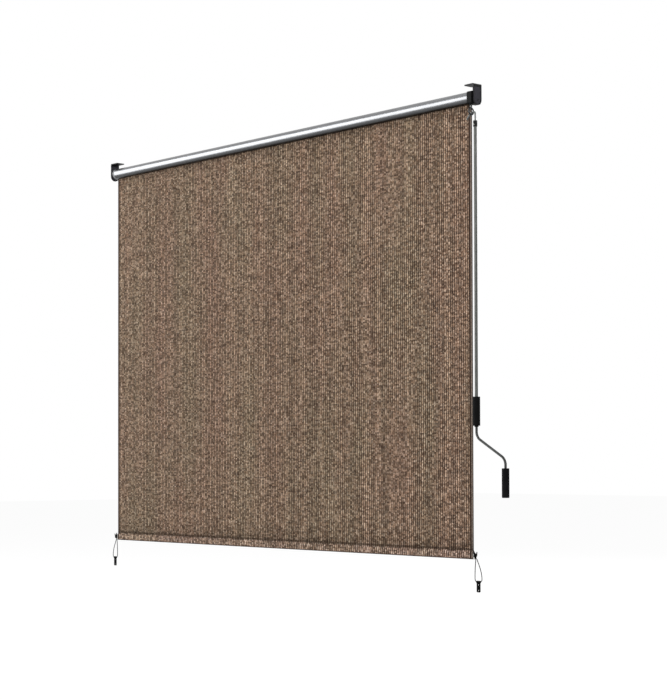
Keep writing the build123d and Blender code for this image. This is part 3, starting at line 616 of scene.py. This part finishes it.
def paint_shade_by_height(material, low, high, shades):
    """Multiplies the base colour by a ramp of greys over the height from low to high, as painted
    shade.
    """
    tree = material.node_tree
    tint = next(n for n in tree.nodes if n.type == "MIX")
    shader = next(n for n in tree.nodes if n.type == "BSDF_PRINCIPLED")
    where = next(n for n in tree.nodes if n.type == "TEX_COORD").outputs["Object"]
    height = add_node(tree, "SeparateXYZ", -850, 500, {"Vector": where}).outputs["Z"]
    share = add_node(
        tree, "MapRange", -640, 500, {"Value": height, "From Min": low, "From Max": high}
    )
    shade = add_node(tree, "ValToRGB", -430, 500, {"Fac": share.outputs[0]})
    ramp = shade.color_ramp
    ramp.interpolation = "EASE"
    for place, grey in shades[2:]:
        ramp.elements.new(place)
    for element, (place, grey) in zip(ramp.elements, shades):
        element.position = place
        element.color = (grey, grey, grey, 1)
    shaded = add_node(
        tree, "Mix", -80, 420, {"Factor": 1.0, 6: tint.outputs[2], 7: shade.outputs["Color"]},
        data_type="RGBA", blend_type="MULTIPLY",
    )
    tree.links.new(shaded.outputs[2], shader.inputs["Base Color"])


# Painted shade: near black at the tube's underside, full colour in the middle, darker again along
# its top edge.
tube_painted_shade = [(0.0, 0.16), (0.5, 1.0), (0.86, 1.0), (0.98, 0.55)]
paint_shade_by_height(tube_metal, tube_low[2], tube_high[2], tube_painted_shade)

# %% [markdown]
# ### Bracket paint
# The brackets are cast and painted. Their sunk panel is coloured a little lighter than the rim and
# given a coarse grain. This is a painted sheen, standing in for the pale room reflected in the
# panel. The material knows the panel by its place along the tube: it is whatever lies within 0.3
# mm of the panel's plane.

# %% Bracket paint
panel_reach = 0.3 * mm


def bracket_paint_and_sheen(name, planes):
    """Dark paint with a lighter, grainy field of painted sheen on the panel's planes, given along
    X.
    """
    material = finish(
        name, (12, 12, 13), (28, 28, 30), (0.4, 0.55), scale=800, depth=0.35, specular=0.15
    )
    tree = material.node_tree
    where = next(n for n in tree.nodes if n.type == "TEX_COORD").outputs["Object"]
    tint = next(n for n in tree.nodes if n.type == "MIX")
    shader = next(n for n in tree.nodes if n.type == "BSDF_PRINCIPLED")
    along = add_node(tree, "SeparateXYZ", -850, 500, {"Vector": where}).outputs["X"]
    sheen_plane_masks = [
        add_node(
            tree, "Math", -600, 500 - 160 * number, {0: along, 1: plane, 2: panel_reach},
            operation="COMPARE",
        ).outputs[0]
        for number, plane in enumerate(planes)
    ]
    sheen_field = sheen_plane_masks[0]
    for mask in sheen_plane_masks[1:]:
        sheen_field = add_node(
            tree, "Math", -430, 420, {0: sheen_field, 1: mask}, operation="MAXIMUM"
        ).outputs[0]
    cast = place_group(
        tree, grain_group, -600, 700, {"Vector": where, "Scale": 260.0, "Stretch": (1, 1, 1)}
    )
    # Painted sheen: the panel's lighter grain stands in for the pale room reflected in it.
    panel_sheen_grain = add_node(
        tree, "Mix", -230, 600,
        {"Factor": cast.outputs["Value"], 6: screen(42, 41, 47), 7: screen(60, 59, 66)},
        data_type="RGBA",
    )
    panel_sheen_mix = add_node(
        tree, "Mix", -60, 420, {"Factor": sheen_field, 6: tint.outputs[2], 7: panel_sheen_grain.outputs[2]},
        data_type="RGBA",
    )
    tree.links.new(panel_sheen_mix.outputs[2], shader.inputs["Base Color"])
    return material


panel = 0.8 * mm
plate = 4 * mm
drive_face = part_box("drive_bracket")[1][0]
idler_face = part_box("idler_bracket")[0][0]
dress(bracket_paint_and_sheen("drive_paint_sheen", [drive_face - panel]), "drive_bracket")
dress(
    bracket_paint_and_sheen("idler_paint_sheen", [idler_face + panel, idler_face + plate - panel]),
    "idler_bracket",
)

# %% [markdown]
# ### Shade fabric
# Seen close, each rib is a column of small loops in tan, brown and near-black, with a dark gap
# beside it. The gap is painted shade in the groove between ribs, broken into dashes along the
# courses. Seen from afar, broad soft bands of reddish and olive brown wander across the cloth,
# where tapes of different dye lots meet. So the colour has four layers: a random value for each
# loop, one for each course of loops, one for each rib, and slow bands that are long along the
# drop. Dark lines follow the selvedges and the hem's seam. A dark line along the hem's foot is
# painted shade under its round turn. The hem has the same pattern in a lighter and pinker brown,
# which is painted light on its rounded face.

# %% Shared effect: knitted loops
loops_group, loops_in, loops_out = new_group(
    "knitted_loops",
    [("Vector", "Vector", None), ("Rib", "Float", rib_pitch), ("Loop", "Float", 6.5 * mm)],
    [("Loop Value", "Float"), ("Course Value", "Float"), ("Rib Value", "Float"),
     ("Groove Shade", "Float"), ("Height", "Float")],
)
loop_parts = add_node(loops_group, "SeparateXYZ", -1500, 0, {0: loops_in.outputs["Vector"]})


def node_math(tree, operation, x, y, first, second=0.0, **settings):
    """One arithmetic node on two values or links."""
    return add_node(tree, "Math", x, y, {0: first, 1: second}, operation=operation,
                    **settings).outputs[0]


from_edge = node_math(loops_group, "SUBTRACT", -1300, 200, loop_parts.outputs["X"], cloth_left)
rib_count = node_math(loops_group, "DIVIDE", -1120, 200, from_edge, loops_in.outputs["Rib"])
tape_count = node_math(loops_group, "MULTIPLY", -940, 340, rib_count, 3.0)
tape = node_math(loops_group, "FLOOR", -760, 340, tape_count)
rib_number = node_math(loops_group, "FLOOR", -940, 200, rib_count)
loop_count = node_math(
    loops_group, "DIVIDE", -1120, -100, loop_parts.outputs["Z"], loops_in.outputs["Loop"]
)
offset_count = node_math(
    loops_group, "ADD", -760, -100, loop_count,
    node_math(loops_group, "MULTIPLY", -940, -220, tape, 0.37),
)
loop_number = node_math(loops_group, "FLOOR", -580, -100, offset_count)
loop_cell = add_node(loops_group, "CombineXYZ", -400, 200, {"X": tape, "Y": loop_number})
loop_value = add_node(
    loops_group, "TexWhiteNoise", -220, 200, {"Vector": loop_cell.outputs[0]},
    noise_dimensions="2D",
)
rib_value = add_node(
    loops_group, "TexWhiteNoise", -220, 0, {"W": rib_number}, noise_dimensions="1D"
)
course_cell = add_node(
    loops_group, "CombineXYZ", -400, 420,
    {"X": node_math(loops_group, "ADD", -580, 420, rib_number, 311.0),
     "Y": node_math(loops_group, "FLOOR", -580, 560, loop_count)},
)
course_value = add_node(
    loops_group, "TexWhiteNoise", -220, 420, {"Vector": course_cell.outputs[0]},
    noise_dimensions="2D",
)
rib_part = node_math(loops_group, "FRACT", -760, 60, rib_count)
rib_middle = node_math(
    loops_group, "ABSOLUTE", -400, 60, node_math(loops_group, "SUBTRACT", -580, 60, rib_part, 0.5)
)
# Painted shade: the groove between two ribs is darkened.
groove_shade = add_node(
    loops_group, "MapRange", -220, -200,
    {"Value": rib_middle, "From Min": 0.18, "From Max": 0.36}, interpolation_type="SMOOTHSTEP",
)
loop_round = node_math(
    loops_group, "SINE", -220, -420,
    node_math(loops_group, "MULTIPLY", -400, -420, offset_count, 2 * pi),
)
for label, socket in (
    ("Loop Value", loop_value.outputs["Value"]), ("Course Value", course_value.outputs["Value"]),
    ("Rib Value", rib_value.outputs["Value"]), ("Groove Shade", groove_shade.outputs[0]), ("Height", loop_round),
):
    loops_group.links.new(socket, loops_out.inputs[label])


# %% Shade fabric
def shade_fabric(name, reddish, olive):
    """Colour of the cloth from loops, courses, ribs and bands, with dark seams, and painted shade
    in the gaps between ribs and along the hem's foot.
    """
    material = bpy.data.materials.new(name)
    material.use_nodes = True
    tree = material.node_tree
    tree.nodes.clear()
    where = add_node(tree, "TexCoord", -2000, 0).outputs["Object"]
    loops = place_group(tree, loops_group, -1500, 200, {"Vector": where})
    band_place = add_node(
        tree, "VectorMath", -1700, -200, {0: where, 1: (4.6, 0.0, 0.9)}, operation="MULTIPLY"
    )
    bands = add_node(
        tree, "TexNoise", -1500, -200,
        {"Vector": band_place.outputs[0], "Scale": 1.0, "Detail": 4.0, "Roughness": 0.6},
    )
    band_mix = add_node(
        tree, "MapRange", -1250, -200,
        {"Value": bands.outputs[0], "From Min": 0.3, "From Max": 0.7},
        interpolation_type="SMOOTHSTEP",
    )
    warm = add_node(
        tree, "Mix", -1000, -200,
        {"Factor": band_mix.outputs[0], 6: screen(*olive), 7: screen(*reddish)},
        data_type="RGBA",
    )
    thread_ramp = add_node(tree, "ValToRGB", -1250, 300, {"Fac": loops.outputs["Loop Value"]})
    ramp = thread_ramp.color_ramp
    ramp.interpolation = "CONSTANT"
    for place, tint in thread_tints[2:]:
        ramp.elements.new(place)
    for element, (place, tint) in zip(ramp.elements, thread_tints):
        element.position = place
        element.color = (*tint, 1)
    threads = add_node(
        tree, "Mix", -780, 100,
        {"Factor": 1.0, 6: warm.outputs[2], 7: thread_ramp.outputs["Color"]},
        data_type="RGBA", blend_type="MULTIPLY",
    )
    rib_shade = add_node(
        tree, "MapRange", -1000, -450,
        {"Value": loops.outputs["Rib Value"], "To Min": rib_shades[0], "To Max": rib_shades[1]},
    )
    ribs_mix = add_node(
        tree, "Mix", -560, 100,
        {"Factor": 1.0, 6: threads.outputs[2], 7: rib_shade.outputs[0]},
        data_type="RGBA", blend_type="MULTIPLY",
    )
    courses_mix = add_node(
        tree, "Mix", -450, 300,
        {"Factor": 1.0, 6: ribs_mix.outputs[2],
         7: add_node(
             tree, "MapRange", -780, 460,
             {"Value": loops.outputs["Course Value"], "To Min": course_shades[0],
              "To Max": course_shades[1]},
         ).outputs[0]},
        data_type="RGBA", blend_type="MULTIPLY",
    )
    beads = add_node(
        tree, "MapRange", -780, -150,
        {"Value": loops.outputs["Course Value"], "To Min": 1.0, "To Max": groove_shade_strength},
    )
    groove_shade_depth = node_math(
        tree, "MULTIPLY", -560, -150, loops.outputs["Groove Shade"], beads.outputs[0]
    )
    # Painted shade in the grooves between ribs, deeper on some courses than on others.
    groove_shade_mix = add_node(
        tree, "Mix", -340, 100,
        {"Factor": groove_shade_depth, 6: courses_mix.outputs[2], 7: screen(*shade_and_seam_brown)},
        data_type="RGBA",
    )
    parts = add_node(tree, "SeparateXYZ", -1500, -500, {0: where})
    from_middle = node_math(
        tree, "ABSOLUTE", -1100, -600,
        node_math(tree, "SUBTRACT", -1300, -600, parts.outputs["X"],
                  (cloth_left + cloth_right) / 2),
    )
    from_edge = node_math(
        tree, "SUBTRACT", -900, -600, (cloth_right - cloth_left) / 2, from_middle
    )
    left_half = node_math(
        tree, "LESS_THAN", -1100, -800, parts.outputs["X"], (cloth_left + cloth_right) / 2
    )
    inset = node_math(
        tree, "ADD", -800, -750, from_edge,
        node_math(tree, "MULTIPLY", -900, -800, left_half, narrower_left),
    )
    tape_mask = node_math(tree, "LESS_THAN", -700, -500, inset, tape_width)
    taped = add_node(
        tree, "Mix", -200, 100,
        {"Factor": node_math(tree, "MULTIPLY", -520, -500, tape_mask, tape_strength),
         6: groove_shade_mix.outputs[2], 7: screen(*edge_brown)},
        data_type="RGBA",
    )
    seam_mask = add_node(
        tree, "Math", -700, -700, {0: inset, 1: edge_seam, 2: edge_seam_half}, operation="COMPARE"
    ).outputs[0]
    rim_mask = node_math(tree, "LESS_THAN", -700, -900, inset, rim_width)
    dashes = add_node(
        tree, "MapRange", -700, -1100, {"Value": loops.outputs["Course Value"], "To Min": 0.6}
    ).outputs[0]
    line_mask = node_math(
        tree, "MULTIPLY", -340, -700,
        node_math(tree, "MAXIMUM", -520, -700, seam_mask, rim_mask), dashes,
    )
    edged = add_node(
        tree, "Mix", -20, 100,
        {"Factor": line_mask, 6: taped.outputs[2], 7: screen(*shade_and_seam_brown)}, data_type="RGBA",
    )
    height = parts.outputs["Z"]
    seam_line = add_node(
        tree, "Math", -520, -1300, {0: height, 1: hem_top + seam_half, 2: seam_half},
        operation="COMPARE",
    ).outputs[0]
    seam_share = node_math(tree, "MULTIPLY", -430, -1300, seam_line, seam_strength)
    # Painted shade: the lowest 4 mm of the hem, under its round turn, are darkened.
    foot_shade_line = node_math(tree, "LESS_THAN", -520, -1450, height, hem_bottom + foot_shade_height)
    seams_and_foot_shade = add_node(
        tree, "Mix", 160, 100,
        {"Factor": node_math(
            tree, "MULTIPLY", -160, -1300,
            node_math(tree, "MAXIMUM", -340, -1300, seam_share, foot_shade_line), dashes,
        ), 6: edged.outputs[2], 7: screen(*shade_and_seam_brown)},
        data_type="RGBA",
    )
    bump = add_node(
        tree, "Bump", 160, -200,
        {"Strength": 0.35, "Distance": 0.0006, "Height": loops.outputs["Height"]},
    )
    shader = add_node(
        tree, "BsdfPrincipled", 400, 100,
        {"Base Color": seams_and_foot_shade.outputs[2], "Roughness": 0.85, "Normal": bump.outputs[0],
         "Specular IOR Level": 0.1},
    )
    output = add_node(tree, "OutputMaterial", 680, 100)
    tree.links.new(shader.outputs[0], output.inputs["Surface"])
    return material


red_brown, olive_brown = (190, 154, 128), (182, 156, 127)
# Painted light: the hem's browns are lighter than the cloth's, for the lit rounded face of the
# hem.
hem_lit_pink, hem_lit_tan = (206, 170, 148), (200, 170, 142)
# The dark brown serves the painted shade in the grooves and at the hem's foot, and the seam and
# selvedge lines.
shade_and_seam_brown, edge_brown = (38, 24, 17), (96, 88, 82)
thread_tints = [
    (0.0, (0.27, 0.25, 0.24)), (0.22, (0.42, 0.42, 0.42)), (0.5, (0.53, 0.56, 0.59)),
    (0.8, (0.68, 0.77, 0.87)),
]
rib_shades, course_shades, groove_shade_strength = (0.82, 1.18), (0.5, 1.5), 0.62
tape_width, tape_strength, narrower_left = 10.5 * mm, 0.75, 9.0 * mm
edge_seam, edge_seam_half, rim_width = 14.0 * mm, 5.0 * mm, 1.6 * mm
seam_half, seam_strength, foot_shade_height = 4.5 * mm, 0.6, 4.0 * mm
cloth.data.materials.append(shade_fabric("shade_fabric", red_brown, olive_brown))
hem.data.materials.append(shade_fabric("hem_fabric_lit", hem_lit_pink, hem_lit_tan))

# %% [markdown]
# ### Cord sleeve and thread
# Shock cord has a braided black sleeve. Two crossed sets of fine diagonal stripes, worked out
# from the place on the cord, give the braid's raised diamonds.

# %% Braided cord
def braid(name, colour, raised, pitch):
    """Black sleeve whose height is the product of two crossed waves of one pitch."""
    material = bpy.data.materials.new(name)
    material.use_nodes = True
    tree = material.node_tree
    tree.nodes.clear()
    where = add_node(tree, "TexCoord", -1300, 0).outputs["Object"]
    waves = []
    for number, slant in enumerate((1.0, -1.0)):
        slanted = add_node(
            tree, "VectorMath", -1080, 200 - 300 * number,
            {0: where, 1: (slant, 0.8, 0.7)}, operation="DOT_PRODUCT",
        )
        waves.append(
            node_math(
                tree, "SINE", -700, 200 - 300 * number,
                node_math(tree, "MULTIPLY", -880, 200 - 300 * number,
                          slanted.outputs["Value"], 2 * pi / pitch),
            )
        )
    diamonds = node_math(tree, "MULTIPLY", -500, 60, *waves)
    tint = add_node(
        tree, "Mix", -260, 160,
        {"Factor": node_math(tree, "MAXIMUM", -420, -120, diamonds, 0.0),
         6: screen(*colour), 7: screen(*raised)},
        data_type="RGBA",
    )
    bump = add_node(
        tree, "Bump", -260, -160, {"Strength": 0.5, "Distance": 0.0002, "Height": diamonds}
    )
    shader = add_node(
        tree, "BsdfPrincipled", 20, 100,
        {"Base Color": tint.outputs[2], "Roughness": 0.8, "Normal": bump.outputs[0],
         "Specular IOR Level": 0.05},
    )
    output = add_node(tree, "OutputMaterial", 320, 100)
    tree.links.new(shader.outputs[0], output.inputs["Surface"])
    return material


cord_sleeve = braid("cord_sleeve", (2, 2, 2), (9, 9, 9), 1.1 * mm)
stitch_thread = braid("stitch_thread", (52, 40, 32), (84, 68, 56), 0.6 * mm)
for piece in (*cords.values(), *knots.values()):
    piece.data.materials.append(cord_sleeve)
for row in stitches:
    row.data.materials.append(stitch_thread)

# %% [markdown]
# ## Floor, world and light
# The blind was shot against white. A pale floor lies below it, and the world is white to the
# camera and in reflections but dimmer as a light, so nothing washes out. A large soft box at the
# left lights the cloth and makes the long white streak on the tube. A small one at the right
# lifts the crank's end, a weak one above the tube's top, and one behind shows the back.

# %% Floor
floor_height = -2.35
floor_grid = np.array(
    [[[x, y, floor_height] for x in np.linspace(-30, 30, 7)] for y in np.linspace(-30, 30, 7)]
)
floor_numbers = np.arange(49).reshape(7, 7)
floor = mesh_piece(
    "pale_floor", floor_grid,
    quads(floor_numbers[:-1, :-1], floor_numbers[:-1, 1:], floor_numbers[1:, 1:],
          floor_numbers[1:, :-1]),
)
floor_material = bpy.data.materials.new("pale_floor")
floor_material.use_nodes = True
floor_tree = floor_material.node_tree
floor_tree.nodes.clear()


def seen_directly(tree, x, y):
    """1 for rays of the camera, of reflections and of transmission, 0 for light."""
    path = add_node(tree, "LightPath", x, y)
    glossy = node_math(tree, "MAXIMUM", x + 200, y, path.outputs["Is Camera Ray"],
                       path.outputs["Is Glossy Ray"])
    return node_math(tree, "MAXIMUM", x + 400, y, glossy, path.outputs["Is Transmission Ray"])


floor_noise = add_node(floor_tree, "TexNoise", -800, 300, {"Scale": 3.0, "Detail": 4.0})
floor_tint = add_node(
    floor_tree, "Mix", -600, 300,
    {"Factor": floor_noise.outputs[0], 6: (0.8, 0.8, 0.8, 1), 7: (0.84, 0.84, 0.84, 1)},
    data_type="RGBA",
)
floor_diffuse = add_node(floor_tree, "BsdfDiffuse", -300, 200, {"Color": floor_tint.outputs[2]})
floor_white = add_node(floor_tree, "Emission", -300, 0, {"Strength": 1.1})
floor_share = node_math(
    floor_tree, "MULTIPLY", -100, -200, seen_directly(floor_tree, -900, -200), 0.85
)
floor_mix = add_node(
    floor_tree, "MixShader", 100, 100,
    {0: floor_share, 1: floor_diffuse.outputs[0], 2: floor_white.outputs[0]},
)
floor_end = add_node(floor_tree, "OutputMaterial", 320, 100)
floor_tree.links.new(floor_mix.outputs[0], floor_end.inputs["Surface"])
floor.data.materials.append(floor_material)

# %% World
world = bpy.data.worlds.new("white_room")
bpy.context.scene.world = world
world.use_nodes = True
world_tree = world.node_tree
world_tree.nodes.clear()
room_light = 0.28
room_strength = add_node(
    world_tree, "MapRange", -100, 0,
    {"Value": seen_directly(world_tree, -800, 0), "To Min": room_light, "To Max": 1.0},
)
room = add_node(
    world_tree, "Background", 100, 0,
    {"Color": (1, 1, 1, 1), "Strength": room_strength.outputs[0]},
)
world_end = add_node(world_tree, "OutputWorld", 320, 0)
world_tree.links.new(room.outputs[0], world_end.inputs["Surface"])


# %% Soft boxes
def soft_box(name, place, target, width, height, power):
    """Area light at place that faces target."""
    lamp = bpy.data.lights.new(name, "AREA")
    lamp.shape = "RECTANGLE"
    lamp.size, lamp.size_y, lamp.energy = width, height, power
    light = bpy.data.objects.new(name, lamp)
    facing = (Vector(target) - Vector(place)).to_track_quat("-Z", "Y")
    light.matrix_world = Matrix.Translation(place) @ facing.to_matrix().to_4x4()
    light.visible_camera = False
    bpy.context.scene.collection.objects.link(light)
    return light


soft_box("left_front_box", (-8.4, -6.1, 0.6), (-1.2, 0, -0.3), 8.0, 7.4, 900)
soft_box("right_front_box", (3.2, -4.2, 0.6), (-0.8, 0, -0.9), 3.0, 3.0, 150)
soft_box("top_box", (-1.0, -1.5, 3.5), (-1.0, 0, -0.5), 3.0, 2.0, 60)
soft_box("back_box", (-1.2, 7.0, 1.8), (-1.2, 0, -0.9), 6.0, 3.0, 260)

scene = bpy.context.scene
scene.view_settings.view_transform = "Standard"
